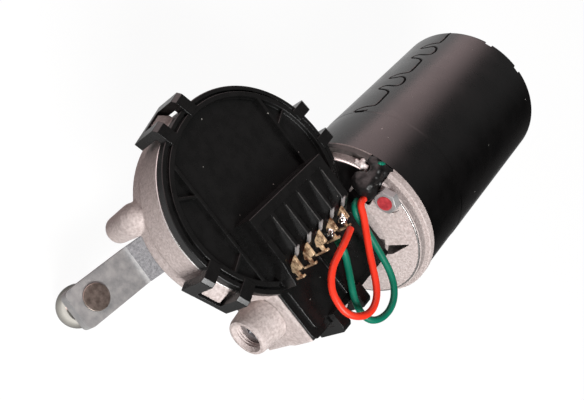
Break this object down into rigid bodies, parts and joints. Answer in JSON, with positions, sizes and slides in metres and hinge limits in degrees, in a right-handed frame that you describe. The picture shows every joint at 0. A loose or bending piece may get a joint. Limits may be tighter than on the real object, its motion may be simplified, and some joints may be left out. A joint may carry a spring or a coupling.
{
  "type": "windshield wiper motor",
  "caption": "Electric wiper drive: black motor can on a cast worm gearbox with clipped black cover, terminal block, jumper wires and a stepped crank arm with ball stud.",
  "frame": {"origin": "on the output shaft's axis, in the end face of the boss round it", "axes": "+Z along the output shaft towards the gearbox cover, +X from the output shaft to the worm, +Y along the motor to its rear end"},
  "size_m": [0.1067, 0.1848, 0.0938],
  "materials": {
    "cast_aluminium": "grainy as-cast",
    "black_plastic": "satin black moulding",
    "black_rubber": "dull to shiny black",
    "black_paint": "satin black paint on rolled steel",
    "zinc_plate": "zinc plated, mottled blue grey",
    "steel": "ground steel",
    "bright_steel": "polished",
    "brass": "stamped strip",
    "copper": "bare copper",
    "copper_wire": "enamelled copper wire",
    "bronze": "sintered bronze",
    "laminations": "stacked sheet steel",
    "ferrite": "ceramic magnet, dark grey",
    "carbon": "copper graphite brush",
    "nylon": "natural nylon",
    "brown_board": "paper laminate",
    "red_insulation": "glossy",
    "green_insulation": "glossy"
  },
  "bodies": {
    "gearbox": {"gear_housing": "cast_aluminium", "worm_end_boss": "cast_aluminium", "gear_cover": "black_plastic", "cover_seal": "black_rubber", "motor_can": "black_paint", "end_cap": "black_paint", "magnet_left": "ferrite", "magnet_right": "ferrite", "front_bush": "bronze", "rear_bush": "bronze", "worm_end_bush": "bronze", "output_bush": "bronze", "thrust_screw": "steel", "thrust_ball": "steel", "brush_plate": "brown_board", "through_bolt_1": "zinc_plate", "through_bolt_2": "zinc_plate", "output_seal": "black_rubber", "wire_grommet": "black_rubber", "red_wire": "red_insulation", "green_wire": "green_insulation", "terminal_1": "brass", "terminal_2": "brass", "terminal_3": "brass", "terminal_4": "brass", "terminal_5": "brass", "park_contact_1": "brass", "brush_box_1": "brass", "brush_spring_1": "steel", "park_contact_2": "brass", "brush_box_2": "brass", "brush_spring_2": "steel", "park_contact_3": "brass", "brush_box_3": "brass", "brush_spring_3": "steel"},
    "crank": {"output_shaft": "steel", "gear_wheel": "nylon", "contact_disc": "copper", "shaft_clip": "steel", "thrust_washer": "steel", "crank_arm": "zinc_plate", "lock_washer": "zinc_plate", "crank_nut": "zinc_plate", "ball_stud": "bright_steel"},
    "armature": {"armature_shaft": "steel", "armature_core": "laminations", "winding_front": "copper_wire", "winding_rear": "copper_wire", "commutator": "copper"},
    "brush_right": {"brush_1": "carbon"},
    "brush_left": {"brush_2": "carbon"},
    "brush_upper": {"brush_3": "carbon"}
  },
  "joints": [
    {"name": "crank_spin", "type": "hinge", "parent": "gearbox", "child": "crank", "pos_m": [0, 0, 0], "axis": [0, 0, 1], "continuous": true},
    {"name": "armature_spin", "type": "hinge", "parent": "gearbox", "child": "armature", "pos_m": [0.0355, 0, 0.0264], "axis": [0, 1, 0], "continuous": true},
    {"name": "brush_right_slide", "type": "slide", "parent": "gearbox", "child": "brush_right", "axis": [0.99, 0, 0.1409], "range_m": [0, 0.0025], "stiffness_N_per_m": 400, "springref_m": -0.01, "deforming": ["brush_spring_1"]},
    {"name": "brush_left_slide", "type": "slide", "parent": "gearbox", "child": "brush_left", "axis": [-0.99, 0, -0.1409], "range_m": [0, 0.0025], "stiffness_N_per_m": 400, "springref_m": -0.01, "deforming": ["brush_spring_2"]},
    {"name": "brush_upper_slide", "type": "slide", "parent": "gearbox", "child": "brush_upper", "axis": [-0.617, 0, 0.7869], "range_m": [0, 0.0025], "stiffness_N_per_m": 400, "springref_m": -0.01, "deforming": ["brush_spring_3"]}
  ],
  "couplings": [
    {"joint": "armature_spin", "follows": "crank_spin", "ratio": -50}
  ]
}
